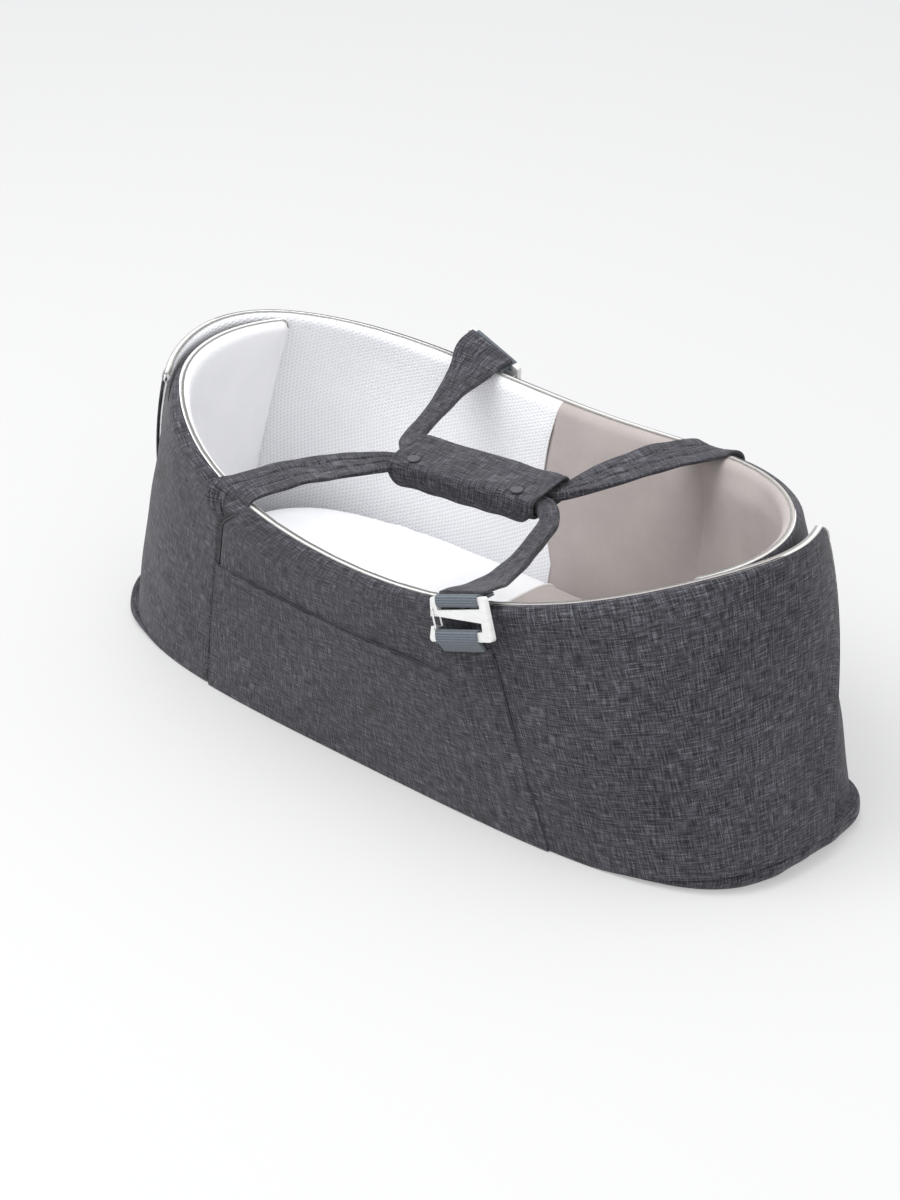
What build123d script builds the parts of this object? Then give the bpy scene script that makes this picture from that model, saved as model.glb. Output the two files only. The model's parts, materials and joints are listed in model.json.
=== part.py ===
from build123d import *
from math import cos, radians, sin, tan, tanh
import os

# Soft carrycot. Millimetres, +Z up. +X runs along the cot towards the foot end, -Y is the near side.
# The origin is the middle of the underside. The far side is the near side turned half a turn about Z.

# Plan of the wall's outer face: a superellipse at the floor and another at top_level, straight between
base_half_length = 385.0
base_half_width = 146.0
base_squareness = 3.5
top_level = 260.0
top_half_length = 335.0
top_half_width = 198.0
top_squareness = 2.0

# Height of a panel's rim at five places from its tucked end to its outer end
rim_stations = (-1.0, -0.5, 0.0, 0.5, 1.0)
rim_reach = 340.0
rim_heights = (267.0, 240.0, 219.5, 230.0, 273.0)

# The two side panels lap at both ends: each is inside at its tucked end and outside at the other
tucked_end_angle = -110.0
outer_end_angle = 116.0
lap_shift = 12.0
lap_spread = 60.0
wall_thickness = 20.0
tucked_end_thickness = 12.0
outer_end_thickness = 8.0
taper_from_angle = 56.0
skin = 1.6
gap = 0.2
rim_binding_height = 6.0
panel_floor_gap = 0.6

# Seams of the outer fabric, as places along X at the floor and at seam_level
seam_level = 213.0
head_seam_floor, head_seam_top = -203.0, -137.0
foot_seam_floor, foot_seam_top = 201.0, 154.0
lining_split = -56.0
pocket_height = 152.0

# Base: a fabric tray that swells past the panels at both ends, a board and a pad
tray_height = 22.0
tray_fabric = 1.6
gusset_height = 21.0
gusset_from = 255.0
board_thickness = 4.0
board_margin = 12.0

# Mattress
mattress_height = 46.0
mattress_edge = 14.0
mattress_margin = 2.5
mattress_split = -22.0
mattress_fabric = 1.8
mattress_piping = 2.4

# Bands and straps
band_floor_x, band_top_x = 189.0, 147.0
band_width = 50.0
band_drop = 43.0
webbing_width = 50.0
webbing_thickness = 1.6
strap_width = 46.0
strap_thickness = 3.4
strap_station = -127.0
strap_rise = 3.4
strap_standoff = 3.0
folded_width = 20.0
folded_thickness = 9.0

# Buckle: a flat hook frame, in its own plane
buckle_station = 158.0
buckle_drop = 5.0
buckle_standoff = 12.0
buckle_turn = 20.0
buckle_lean = 10.0
buckle_width = 71.0
buckle_thickness = 5.0
top_bar_at, top_bar_height = 14.2, 7.0
low_bar_at, low_bar_height = -16.0, 8.0
side_bar = 9.5
middle_bar_ends = ((1.2, 6.3), (-4.3, 7.4))
hook_gap_top = -7.0
knob_width = 8.0
knob_reach = 4.5
low_webbing_shift = -5.5
gate_pivot = (-31.0, 8.0)
gate_tip = (-28.6, -8.2)
gate_wire = 0.9
gate_clearance = 0.1
gate_pin_from = 1.2

# Grip: a padded wrap around both straps, closed by a flap with two snaps
grip_level = 227.0
grip_turn = 9.5
grip_length = 150.0
grip_width = 54.0
grip_fabric = 2.5
grip_clearance = 1.0
flap_lip = 20.0
lip_length = 14.0
snap_radius = 5.8
cap_height = 1.6
stud_radius = 3.0
stud_height = 1.0
snap_span = 108.0

os.makedirs("parts", exist_ok=True)


def write(solid, name):
    export_step(solid, f"parts/{name}.step")
    return solid


def write_pair(solid, name):
    write(solid, f"near_{name}")
    write(solid.rotate(Axis.Z, 180), f"far_{name}")


# ---------- the wall's shape ----------
def between(low, high, level):
    return low + (high - low) * level / top_level


def half_length(level):
    return between(base_half_length, top_half_length, level)


def half_width(level):
    return between(base_half_width, top_half_width, level)


def squareness(level):
    return between(base_squareness, top_squareness, level)


def plan_point(angle, level, inset, shift=0.0):
    """A point of the plan at a level: angle 0 is the near side and 90 the foot end."""
    s, c, n = sin(radians(angle)), cos(radians(angle)), squareness(level)
    size = (abs(s) ** n + abs(c) ** n) ** (-1 / n)
    along = (half_length(level) + shift - inset) * s * size
    across = -(half_width(level) - inset) * c * size
    return Vector(along, across, level)


def near_face_y(x, level):
    n = squareness(level)
    return -half_width(level) * (1 - abs(x / half_length(level)) ** n) ** (1 / n)


def rim_level(x):
    """Height of the near panel's rim: the polynomial through the five stations."""
    height = 0.0
    for i, station in enumerate(rim_stations):
        term = rim_heights[i]
        for other in rim_stations:
            if other != station:
                term *= (x / rim_reach - other) / (station - other)
        height += term
    return height


def thickness(angle):
    """The wall keeps its thickness to taper_from_angle, then thins towards the panel's two ends."""
    end = outer_end_angle if angle > 0 else tucked_end_angle
    thin = outer_end_thickness if angle > 0 else tucked_end_thickness
    share = max(0.0, (abs(angle) - taper_from_angle) / (abs(end) - taper_from_angle))
    return wall_thickness + (thin - wall_thickness) * share


def wall_point(angle, level, depth):
    """A point of the near panel, depth from 0 on the outer face to 1 on the inner face, plus a length inwards."""
    share, extra = depth
    inset = share * thickness(angle) + extra
    return plan_point(angle, level, inset, lap_shift * tanh(angle / lap_spread))


angle_steps = 16
angle_step = (outer_end_angle - tucked_end_angle) / angle_steps
angles = [tucked_end_angle + angle_step * i for i in range(angle_steps + 1)]
top_of_lofts = max(rim_heights) + 25
section_levels = [top_of_lofts * i / 2 for i in range(3)]


def closed_face(outer, inner):
    """The face between two open outlines that run the same way."""
    edges = Spline(*outer) + Line(outer[-1], inner[-1]) + Spline(*inner[::-1]) + Line(inner[0], outer[0])
    return make_face(edges)


def layer(outer_depth, inner_depth):
    sections = []
    for level in section_levels:
        outer = [wall_point(a, level, outer_depth) for a in angles]
        inner = [wall_point(a, level, inner_depth) for a in angles]
        sections.append(closed_face(outer, inner))
    return loft(sections)


def plate(outline):
    """An XZ outline carried right across the cot."""
    width = 2 * (top_half_width + base_half_width)
    return extrude(make_face(Plane.XZ * outline), amount=width, both=True)


def below_rim(drop):
    """Everything lower than the rim by a drop."""
    reach = base_half_length + 60
    xs = [reach * (i / 8 - 1) for i in range(17)]
    top = [(x, rim_level(max(-rim_reach * 1.04, min(rim_reach * 1.04, x))) - drop) for x in xs]
    return plate(Spline(*top) + Polyline(top[-1], (reach, -50), (-reach, -50), top[0]))


def gusset_level(x):
    """The panels' lower edge: flat along the middle, rising to the gusset's height at both ends."""
    share = max(0.0, (abs(x) - gusset_from) / (base_half_length - gusset_from))
    return panel_floor_gap + (gusset_height - panel_floor_gap) * min(1.0, share) ** 1.5


def above_gusset(lift):
    reach = base_half_length + 60
    xs = [reach * (i / 12 - 1) for i in range(25)]
    low = [(x, gusset_level(x) + lift) for x in xs]
    return plate(Polyline(*low, (reach, 400), (-reach, 400), low[0]))


def seam_x(floor_x, top_x, level):
    return floor_x + (top_x - floor_x) * level / seam_level


def side_of_line(floor_x, top_x, offset, towards):
    """The half of space on one side of a slanted seam, seen along Y."""
    low, high = -50.0, 400.0
    a, b = seam_x(floor_x, top_x, low) + offset, seam_x(floor_x, top_x, high) + offset
    far = towards * (base_half_length + 80)
    return plate(Polyline((a, low), (b, high), (far, high), (far, low), (a, low)))


whole_wall_cut = above_gusset(0.0)
under_binding = below_rim(rim_binding_height + gap)
near_half = Pos(0, -top_half_width - base_half_width, 0) * Box(
    4 * base_half_length, 2 * (top_half_width + base_half_width), 900
)

# ---------- side panels ----------
outer_skin = layer((0, 0), (0, skin)) & under_binding & whole_wall_cut
write_pair(outer_skin & side_of_line(head_seam_floor, head_seam_top, -gap / 2, -1), "head_outer_panel")
centre = outer_skin & side_of_line(head_seam_floor, head_seam_top, gap / 2, 1)
write_pair(centre & side_of_line(foot_seam_floor, foot_seam_top, -gap / 2, -1), "centre_outer_panel")
write_pair(outer_skin & side_of_line(foot_seam_floor, foot_seam_top, gap / 2, 1), "foot_outer_panel")

padding = layer((0, skin + gap), (1, -skin - gap)) & under_binding & whole_wall_cut
write_pair(padding, "wall_padding")

lining = layer((1, -skin), (1, 0)) & under_binding & whole_wall_cut
head_side = side_of_line(lining_split, lining_split, -gap / 2, -1)
foot_side = side_of_line(lining_split, lining_split, gap / 2, 1)
for side, piece in (("near", lining), ("far", lining.rotate(Axis.Z, 180))):
    write(piece & head_side, f"{side}_head_lining")
    write(piece & foot_side, f"{side}_foot_lining")

binding = (layer((0, 0), (1, 0)) & below_rim(0.0)) - below_rim(rim_binding_height)
write_pair(binding, "rim_binding")

pocket = layer((0, -gap - skin), (0, -gap)) & near_half & whole_wall_cut
pocket &= side_of_line(head_seam_floor, head_seam_top, gap, 1)
pocket &= side_of_line(band_floor_x, band_top_x, -band_width / 2 - gap, -1)
pocket &= Pos(0, 0, pocket_height / 2) * Box(4 * base_half_length, 4 * top_half_width, pocket_height)
write_pair(pocket, "slip_pocket")

band_top = rim_level(buckle_station) - band_drop
band = layer((0, -gap - skin), (0, -gap)) & near_half & whole_wall_cut
band &= side_of_line(band_floor_x, band_top_x, -band_width / 2, 1)
band &= side_of_line(band_floor_x, band_top_x, band_width / 2, -1)
band_x = seam_x(band_floor_x, band_top_x, band_top)
band_rise = tan(radians(buckle_turn)) * base_half_length
band_end = Polyline(
    (band_x - base_half_length, -50), (band_x - base_half_length, band_top - band_rise),
    (band_x + base_half_length, band_top + band_rise), (band_x + base_half_length, -50),
    (band_x - base_half_length, -50),
)
write_pair(band & plate(band_end), "buckle_band")


# ---------- base ----------
def slab(level, height, length_inset, width_inset, narrowest=0.0):
    """A slab with the wall's plan, as long as at level narrowest and as wide as at the floor."""
    n, around = squareness(narrowest), []
    for i in range(20):
        s, c = sin(radians(18.0 * i)), cos(radians(18.0 * i))
        size = (abs(s) ** n + abs(c) ** n) ** (-1 / n)
        along = (half_length(narrowest) - length_inset) * s * size
        around.append((along, (width_inset - base_half_width) * c * size, level))
    return extrude(make_face(Spline(*around, periodic=True)), amount=height, dir=(0, 0, 1))


def inside_slab(level, height, inset):
    """A slab inside the walls, clear of the tucked ends, which lean in as they rise."""
    top = tray_height + mattress_height
    return slab(level, height, wall_thickness + lap_shift + inset, wall_thickness + inset, narrowest=top)


tray_solid = inside_slab(0, tray_height, mattress_margin) + (slab(0, gusset_height, 0, 0) - above_gusset(-gap))
pad_space = inside_slab(tray_fabric, tray_height, mattress_margin + tray_fabric)
write(tray_solid - pad_space, "base_tray")
board = inside_slab(tray_fabric + gap, board_thickness, mattress_margin + board_margin)
write(board, "base_board")
pad_from = tray_fabric + board_thickness + 2 * gap
write(inside_slab(pad_from, tray_height - pad_from, mattress_margin + tray_fabric + gap), "base_pad")

# ---------- mattress ----------
mattress_level = tray_height + gap
mattress_inset = mattress_margin + gap
mattress = inside_slab(mattress_level, mattress_height, mattress_inset)
mattress = fillet(mattress.edges().group_by(Axis.Z)[-1], mattress_edge)
core = inside_slab(
    mattress_level + mattress_fabric + gap,
    mattress_height - 2 * (mattress_fabric + gap),
    mattress_inset + mattress_fabric + gap,
)
core = fillet(core.edges().group_by(Axis.Z)[-1], mattress_edge - mattress_fabric)
hollow = inside_slab(
    mattress_level + mattress_fabric,
    mattress_height - 2 * mattress_fabric,
    mattress_inset + mattress_fabric,
)
hollow = fillet(hollow.edges().group_by(Axis.Z)[-1], mattress_edge - mattress_fabric)
cover = mattress - hollow
seam = Pos(mattress_split, 0, 0) * Box(mattress_piping, 4 * top_half_width, 900)
write(core, "mattress_core")
beyond_piping = mattress_piping / 2 + gap
write(cover & side_of_line(mattress_split, mattress_split, -beyond_piping, -1), "mattress_head_cover")
write(cover & side_of_line(mattress_split, mattress_split, beyond_piping, 1), "mattress_foot_cover")
write(cover & seam, "mattress_seam_piping")

# ---------- buckle ----------
turn, lean = radians(buckle_turn), radians(buckle_lean)
buckle_level = rim_level(buckle_station) - buckle_drop
buckle_y = near_face_y(buckle_station, buckle_level) - buckle_standoff
buckle_centre = Vector(buckle_station, buckle_y, buckle_level)
along_bar = Vector(cos(turn), 0, sin(turn))
up_buckle = Vector(-sin(turn) * cos(lean), sin(lean), cos(turn) * cos(lean))
buckle_plane = Plane(buckle_centre, x_dir=along_bar, z_dir=along_bar.cross(up_buckle))

half_frame = buckle_width / 2
slot_left, slot_right = -half_frame + side_bar, half_frame - side_bar
frame_top = top_bar_at + top_bar_height / 2
frame_bottom = low_bar_at - low_bar_height / 2
outline = Polyline(
    (-half_frame + 3, frame_top), (half_frame - 3, frame_top), (half_frame + 1, frame_bottom),
    (-half_frame - knob_reach, frame_bottom), (-half_frame, hook_gap_top), (-half_frame + 3, frame_top),
)
frame_face = fillet(make_face(outline).vertices(), 3.0)
left_ends, right_ends = middle_bar_ends
upper_slot = Polyline(
    (slot_left, left_ends[1]), (slot_right, right_ends[1]), (slot_right, top_bar_at - top_bar_height / 2),
    (slot_left, top_bar_at - top_bar_height / 2), (slot_left, left_ends[1]),
)
low_bar_top = low_bar_at + low_bar_height / 2
lower_slot = Polyline(
    (slot_left, low_bar_top), (slot_right, low_bar_top), (slot_right, right_ends[0]),
    (slot_left, left_ends[0]), (slot_left, low_bar_top),
)
mouth = Polyline(
    (-half_frame - 12, hook_gap_top), (slot_left + 0.5, hook_gap_top), (slot_left + 0.5, left_ends[0]),
    (-half_frame - 12, left_ends[0]), (-half_frame - 12, hook_gap_top),
)
nose_gap = Polyline(
    (-half_frame - knob_reach + knob_width, hook_gap_top + 1), (slot_left + 0.5, hook_gap_top + 1),
    (slot_left + 0.5, low_bar_top), (-half_frame - knob_reach + knob_width, low_bar_top),
    (-half_frame - knob_reach + knob_width, hook_gap_top + 1),
)
for cut in (upper_slot, lower_slot, mouth, nose_gap):
    frame_face -= make_face(cut)
frame_solid = extrude(frame_face, amount=buckle_thickness / 2, both=True)
frame_solid = buckle_plane * frame_solid
pivot_hole = Cylinder(gate_wire + gate_clearance, 4 * buckle_thickness)
frame_solid -= buckle_plane * Pos(*gate_pivot, 0) * pivot_hole
write_pair(frame_solid, "buckle_frame")

leg_offset = buckle_thickness / 2 + gate_wire + 0.4


def rod(start, end):
    """A round wire between two points, with round ends."""
    run = Vector(*end) - Vector(*start)
    wire = extrude(Plane(Vector(*start), z_dir=run) * Circle(gate_wire), amount=run.length)
    return wire + Pos(*start) * Sphere(gate_wire) + Pos(*end) * Sphere(gate_wire)


gate = rod((*gate_tip, leg_offset), (*gate_tip, -leg_offset))
for side in (1, -1):
    gate += rod((*gate_pivot, side * leg_offset), (*gate_tip, side * leg_offset))
    gate += rod((*gate_pivot, side * leg_offset), (*gate_pivot, side * gate_pin_from))
write_pair(buckle_plane * gate, "buckle_gate")


# ---------- webbing loops ----------
def webbing_loop(at, bar_height, shift):
    """A loop of webbing around one bar of the frame, in the buckle's plane."""
    clear = gap + 0.2
    high, deep = bar_height / 2 + clear, buckle_thickness / 2 + clear
    ring = RectangleRounded(2 * (deep + webbing_thickness), 2 * (high + webbing_thickness), 2.2)
    ring -= RectangleRounded(2 * deep, 2 * high, 0.8)
    across = Plane((shift, at, 0), x_dir=(0, 0, 1), z_dir=(1, 0, 0))
    return buckle_plane * extrude(across * ring, amount=webbing_width / 2, both=True)


def part_way(start, end, share):
    return start + (end - start) * share


def section(centre, across, along, width, thick):
    """A flat cross-section: across is its width's direction, along its normal."""
    plane = Plane(centre, x_dir=across, z_dir=along)
    return plane * Rectangle(width, thick)


top_bar = buckle_plane.from_local_coords(Vector(0, top_bar_at, 0))
inwards = Vector(0, 1, 0)
ring_reach = top_bar_height / 2 + webbing_thickness + gap
upper_tail_length = 12.0
tail_start = top_bar + inwards * ring_reach
tail_end = tail_start + inwards * upper_tail_length
upper_tail = loft([
    section(tail_start - inwards * 1.2, along_bar, inwards, webbing_width, 2 * webbing_thickness),
    section(tail_end, along_bar, inwards, webbing_width, 2 * webbing_thickness),
])
write_pair(webbing_loop(top_bar_at, top_bar_height, 0.0) + upper_tail, "upper_webbing")

low_ring_bottom = buckle_plane.from_local_coords(
    Vector(low_webbing_shift, frame_bottom - webbing_thickness, 0)
)
band_point = Vector(band_x, near_face_y(band_x, band_top) - 2 * skin - 3 * gap, band_top + webbing_thickness)
lower_tail = loft([
    section(low_ring_bottom, along_bar, up_buckle, webbing_width, 2 * webbing_thickness),
    section(band_point, along_bar, up_buckle, webbing_width, 2 * webbing_thickness),
])
write_pair(webbing_loop(low_bar_at, low_bar_height, low_webbing_shift) + lower_tail, "lower_webbing")

# ---------- straps ----------
grip_along = Vector(cos(radians(grip_turn)), sin(radians(grip_turn)), 0)
grip_across = Vector(0, 0, 1).cross(grip_along)
up = Vector(0, 0, 1)
grip_centre = Vector(0, 0, grip_level)
strap_row = grip_centre - grip_across * (folded_width / 2 + gap + 0.4)
grip_left = strap_row - grip_along * (grip_length / 2 + 2)
grip_right = strap_row + grip_along * (grip_length / 2 + 2)

rim_here = rim_level(strap_station)
rim_slope = (rim_level(strap_station + 5) - rim_level(strap_station - 5)) / 10
along_rim = Vector(1, 0.28, rim_slope).normalized()
rim_y = near_face_y(strap_station, rim_here) - strap_standoff
swing_wide = Vector(strap_station, rim_y, rim_here + strap_rise + strap_thickness / 2)
wide_start = swing_wide + Vector(0, 6, 0.4)
strap_end = tail_end + inwards * gap

# Stations along the strap: place, direction of its width, width, thickness
strap_route = [
    (wide_start, along_rim, strap_width, strap_thickness),
    (part_way(wide_start, grip_left, 0.35) + up * 5, Vector(1, -0.16, 0), strap_width, strap_thickness),
    (part_way(wide_start, grip_left, 0.72) + up * 5, Vector(0.86, -0.5, 0), strap_width * 0.9, strap_thickness),
    (grip_left, Vector(0.1, -1, 0), folded_width, folded_thickness),
    (grip_right, grip_across * -1, folded_width, folded_thickness),
    (grip_right + Vector(22, -16, -5), Vector(-0.75, -0.75, 0.1), folded_width * 0.8, folded_thickness * 0.9),
    (part_way(grip_right, strap_end, 0.42) + Vector(14, 0, -9), Vector(-0.95, -0.3, -0.1), folded_width * 0.8, folded_thickness),
    (part_way(grip_right, strap_end, 0.74) + Vector(8, 0, -5), Vector(-1, 0, -0.2), strap_width * 0.62, folded_thickness * 0.55),
    (strap_end, along_bar * -1, webbing_width, strap_thickness),
]


def route_sections(route):
    faces = []
    for i, (place, across, width, thick) in enumerate(route):
        before, after = route[max(i - 1, 0)][0], route[min(i + 1, len(route) - 1)][0]
        along = inwards * -1 if i == len(route) - 1 else (after - before).normalized()
        across = (across - along * across.dot(along)).normalized()
        faces.append(section(place, across, along, width, thick))
    return faces


write_pair(loft(route_sections(strap_route), ruled=True), "handle_strap")

# ---------- grip ----------
# In the grip's plane X runs to the far side and Y up
grip_plane = Plane(grip_centre - grip_along * (grip_length / 2), x_dir=grip_across, z_dir=grip_along)
half_grip = grip_width / 2
inner_half = half_grip - grip_fabric
roof = folded_thickness / 2 + grip_clearance
lip_top = roof + grip_fabric
wrap_outline = Polyline(
    (-half_grip + lip_length, lip_top), (-half_grip + lip_length, roof), (-inner_half, roof),
    (-inner_half, -roof), (inner_half, -roof), (inner_half, roof), (half_grip, roof),
    (half_grip, -lip_top), (-half_grip, -lip_top), (-half_grip, lip_top), (-half_grip + lip_length, lip_top),
)
write(extrude(grip_plane * make_face(wrap_outline), amount=grip_length), "grip_wrap")

flap_low = lip_top + stud_height + gap
flap_top = flap_low + grip_fabric
flap_near = -half_grip - 2 * gap
flap_outline = Polyline(
    (half_grip, flap_low), (half_grip, flap_top), (flap_near - grip_fabric, flap_top),
    (flap_near - grip_fabric, flap_low - flap_lip), (flap_near, flap_low - flap_lip),
    (flap_near, flap_low), (half_grip, flap_low),
)
write(extrude(grip_plane * make_face(flap_outline), amount=grip_length), "grip_flap")

snap_places = [grip_length / 2 + side * snap_span / 2 for side in (-1, 1)]
snap_across = -half_grip + lip_length / 2
caps, studs = [], []
for place in snap_places:
    foot = grip_plane.from_local_coords(Vector(snap_across, 0, place))
    cap = Pos(foot + up * (flap_top + cap_height / 2)) * Cylinder(snap_radius, cap_height)
    caps.append(fillet(cap.edges().group_by(Axis.Z)[-1], cap_height * 0.6))
    studs.append(Pos(foot + up * (lip_top + stud_height / 2)) * Cylinder(stud_radius, stud_height))
write(Compound(caps), "snap_caps")
write(Compound(studs), "snap_studs")

swing_narrow = top_bar - Vector(0, 1, 0) * strap_standoff
flap_hinge = grip_plane.from_local_coords(Vector(half_grip, flap_low, grip_length / 2))
gate_hinge = buckle_plane.from_local_coords(Vector(*gate_pivot, 0))
for name, place in (("wide", swing_wide), ("narrow", swing_narrow), ("flap", flap_hinge), ("gate", gate_hinge)):
    print(name, "pivot", [round(v, 3) for v in place])
print("grip runs along", [round(v, 5) for v in grip_along])
print("gate turns about", [round(v, 5) for v in buckle_plane.z_dir])
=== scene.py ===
import json
import math
import bmesh
import bpy
import numpy as np
from mathutils import Matrix, Vector


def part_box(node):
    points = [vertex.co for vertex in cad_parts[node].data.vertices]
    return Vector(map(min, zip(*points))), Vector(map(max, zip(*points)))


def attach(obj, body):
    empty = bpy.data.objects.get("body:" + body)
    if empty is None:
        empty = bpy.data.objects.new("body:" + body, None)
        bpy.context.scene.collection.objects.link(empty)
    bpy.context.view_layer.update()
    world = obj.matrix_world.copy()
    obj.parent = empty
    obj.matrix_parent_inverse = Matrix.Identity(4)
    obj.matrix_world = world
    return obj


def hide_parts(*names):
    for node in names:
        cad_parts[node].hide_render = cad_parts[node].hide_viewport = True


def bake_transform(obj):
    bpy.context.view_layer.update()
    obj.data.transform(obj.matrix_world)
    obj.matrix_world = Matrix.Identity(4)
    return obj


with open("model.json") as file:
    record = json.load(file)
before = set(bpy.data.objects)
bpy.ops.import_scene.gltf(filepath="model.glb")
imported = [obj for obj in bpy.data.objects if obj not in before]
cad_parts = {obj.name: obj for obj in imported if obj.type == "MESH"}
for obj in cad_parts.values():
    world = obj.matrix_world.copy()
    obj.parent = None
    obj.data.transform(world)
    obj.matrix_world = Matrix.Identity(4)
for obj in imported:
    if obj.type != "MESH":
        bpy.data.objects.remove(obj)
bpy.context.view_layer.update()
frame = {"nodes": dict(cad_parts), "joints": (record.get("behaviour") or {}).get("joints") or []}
pi = math.pi
joints = {joint["name"]: joint for joint in frame["joints"]}
sides = {"near": np.array([1.0, 1.0, 1.0]), "far": np.array([-1.0, -1.0, 1.0])}  # the far half is the near one turned

# Camera, light and floor
view = {
    "azimuth": 44.213, "elevation": 28.752, "roll": 0.691,  # degrees
    "distance": 3.9669, "lens": 127.0, "target": (-0.15317, 0.1207, 0.0),
}
studio = {
    "worldStrength": 0.86, "worldColour": (0.97, 0.98, 1.0),
    "floorColour": (0.43, 0.43, 0.43), "floorGlow": 0.34, "floorSize": 14.0,
    "lamps": {  # place, size in metres, watts
        "keyLamp": ((-0.6, -1.2, 2.6), 1.7, 32.0),
        "fillLamp": ((2.2, -1.0, 1.7), 1.6, 9.0),
        "skyLamp": ((-0.2, -0.3, 3.2), 2.6, 38.0),
    },
}


def addObject(name, data, cloth=None):
    made = bpy.data.objects.new(name, data)
    if cloth:
        made["cloth"] = cloth
    bpy.context.scene.collection.objects.link(made)
    return made


def makeCamera():
    azimuth, elevation, roll = (math.radians(view[k]) for k in ("azimuth", "elevation", "roll"))
    back = Vector((
        math.sin(azimuth) * math.cos(elevation), -math.cos(azimuth) * math.cos(elevation), math.sin(elevation)))
    right = (-back).cross(Vector((0, 0, 1))).normalized()
    down = (-back).cross(right)
    columns = (
        right * math.cos(roll) + down * math.sin(roll),
        right * math.sin(roll) - down * math.cos(roll),
        back,
    )
    lens = bpy.data.cameras.new("camera")
    lens.lens, lens.sensor_width, lens.clip_end = view["lens"], 36.0, 30.0
    camera = addObject("camera", lens)
    place = Matrix(columns).transposed().to_4x4()
    place.translation = Vector(view["target"]) + back * view["distance"]
    camera.matrix_world = place
    bpy.context.scene.camera = camera


def makeStudio():
    world = bpy.data.worlds.new("studio")
    world.use_nodes = True
    background = world.node_tree.nodes["Background"]
    background.inputs["Color"].default_value = (*studio["worldColour"], 1)
    background.inputs["Strength"].default_value = studio["worldStrength"]
    bpy.context.scene.world = world
    bpy.context.scene.view_settings.view_transform = "Standard"
    for name, (place, size, watts) in studio["lamps"].items():
        lamp = bpy.data.lights.new(name, "AREA")
        lamp.size, lamp.energy = size, watts
        holder = addObject(name, lamp)
        holder.location = place
        holder.rotation_euler = (-Vector(place)).to_track_quat("-Z", "Y").to_euler()


makeCamera()
makeStudio()
print("stage: camera and studio")


# Shader maths
class Wire:  # a node socket; arithmetic on it adds Math nodes
    def __init__(self, tree, socket=None):
        self.tree, self.socket = tree, socket

    def node(self, kind, settings=None, sockets=None, out=0):
        made = self.tree.nodes.new(kind)
        for name, value in (settings or {}).items():
            if name == "stops":
                ramp = made.color_ramp.elements
                for place, _ in value[1:-1]:
                    ramp.new(place)
                ramp[0].position, ramp[-1].position = value[0][0], value[-1][0]
                for stop, (_, colour) in zip(ramp, value):
                    stop.color = (*colour, 1)
            else:
                setattr(made, name, value)
        for name, value in (sockets or {}).items():
            if isinstance(value, Wire):
                self.tree.links.new(value.socket, made.inputs[name])
            else:
                made.inputs[name].default_value = value
        return Wire(self.tree, made.outputs[out])

    def maths(self, operation, other=0.0, swap=False):
        pair = (other, self) if swap else (self, other)
        return self.node("ShaderNodeMath", {"operation": operation}, {0: pair[0], 1: pair[1]})

    def __add__(self, other): return self.maths("ADD", other)
    def __radd__(self, other): return self.maths("ADD", other)
    def __sub__(self, other): return self.maths("SUBTRACT", other)
    def __rsub__(self, other): return self.maths("SUBTRACT", other, swap=True)
    def __mul__(self, other): return self.maths("MULTIPLY", other)
    def __rmul__(self, other): return self.maths("MULTIPLY", other)
    def wave(self, length): return (self * (2 * pi / length)).maths("SINE")  # one cycle per length, in metres


def newMaterial(name, paint):
    material = bpy.data.materials.new(name)
    material.use_nodes = True
    tree = material.node_tree
    shader = tree.nodes["Principled BSDF"]
    for socket, value in paint(Wire(tree)).items():
        if isinstance(value, Wire):
            tree.links.new(value.socket, shader.inputs[socket])
        else:
            shader.inputs[socket].default_value = value
    return material


def clothPlace(wire):  # metres across and down the piece's own cloth
    place = wire.node("ShaderNodeUVMap", {"uv_map": "cloth"})
    apart = place.node("ShaderNodeSeparateXYZ", None, {0: place})
    return place, apart, apart.node("ShaderNodeSeparateXYZ", None, {0: place}, out=1)


def objectPlace(wire):
    return wire.node("ShaderNodeTexCoord", None, None, out=3)


def noise(place, scale, detail=2.0, turn=0.0):  # scale is features per metre along x, y and z
    mapped = place.node("ShaderNodeMapping", None, {"Vector": place, "Rotation": (0, 0, turn), "Scale": scale})
    return mapped.node("ShaderNodeTexNoise", None, {"Vector": mapped, "Scale": 1.0, "Detail": detail})


def ramp(value, stops):
    return value.node("ShaderNodeValToRGB", {"stops": stops}, {0: value})


def relief(height, strength, distance):
    return height.node("ShaderNodeBump", None, {"Strength": strength, "Distance": distance, "Height": height})


charcoal = {
    "stops": ((0.30, (0.010, 0.010, 0.013)), (0.43, (0.031, 0.031, 0.037)),
              (0.55, (0.067, 0.066, 0.079)), (0.72, (0.162, 0.160, 0.180))),
    "yarnPitch": 0.0024, "slubAcross": (75, 900, 1), "slubDown": (900, 75, 1),
}


def charcoalPaint(wire):  # flecked yarns both ways, one over the other in turn
    place, across, down = clothPlace(wire)
    weft = noise(place, charcoal["slubAcross"], 3.0)
    warp = noise(place, charcoal["slubDown"], 3.0)
    over = across.wave(charcoal["yarnPitch"]) * down.wave(charcoal["yarnPitch"]) * 0.5 + 0.5
    cross = weft * over + warp * (1 - over)
    patches = noise(place, (9, 9, 1), 2.0)
    longSlubs = noise(place, (35, 600, 1), 2.0) + noise(place, (600, 35, 1), 2.0)
    value = (cross - 0.5) * 1.25 + (longSlubs - 1.0) * 0.28 + (patches - 0.5) * 0.10 + 0.49
    height = over * 0.35 + value * 0.9
    return {
        "Base Color": ramp(value, charcoal["stops"]), "Roughness": 0.88, "Sheen Weight": 0.12,
        "Sheen Roughness": 0.5, "Specular IOR Level": 0.25, "Normal": relief(height, 0.55, 0.0011),
    }


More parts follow.
